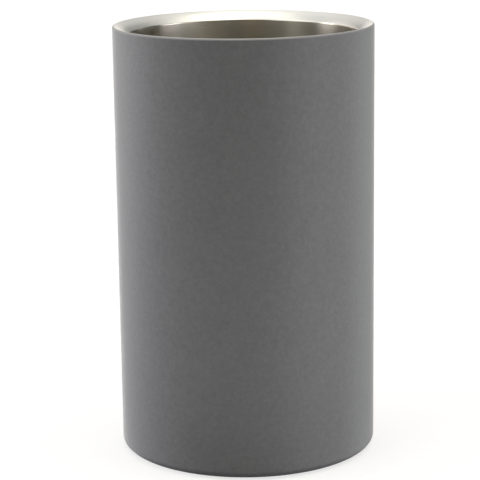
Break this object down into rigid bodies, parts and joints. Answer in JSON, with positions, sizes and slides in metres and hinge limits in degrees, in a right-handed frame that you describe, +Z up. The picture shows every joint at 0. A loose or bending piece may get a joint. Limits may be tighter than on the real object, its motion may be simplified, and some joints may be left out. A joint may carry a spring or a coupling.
{
  "type": "champagne bucket",
  "caption": "Straight-sided, vacuum-insulated metal bottle cooler with a grey coated outer wall, a wide bright rounded lip, a brushed steel well and a soft foot pad.",
  "frame": {"origin": "centre of the face the bucket stands on, the underside of the foot pad", "axes": "+Z up along the bucket's axis, out of the open mouth; the bucket is round, so +X and +Y are free, and the getter inside lies towards +X"},
  "size_m": [0.1204, 0.1204, 0.2],
  "materials": {
    "grey_coat": "satin powder coat with a fine grain",
    "liner_steel": "brushed round the axis",
    "plain_steel": "plain, as rolled",
    "solder_glass": "dark and glossy",
    "getter_powder": "matt pressed powder",
    "copper_foil": "bright foil",
    "adhesive_film": "thin clear-to-milky film",
    "grey_silicone": "matt"
  },
  "bodies": {
    "root": {"outer_shell": "grey_coat", "inner_liner": "liner_steel", "liner_floor": "liner_steel", "vacuum_base": "plain_steel", "port_seal": "solder_glass", "getter_pill": "getter_powder", "getter_clip": "plain_steel", "foil_shield": "copper_foil", "base_cover": "plain_steel", "pad_adhesive": "adhesive_film", "foot_pad": "grey_silicone"}
  },
  "joints": []
}
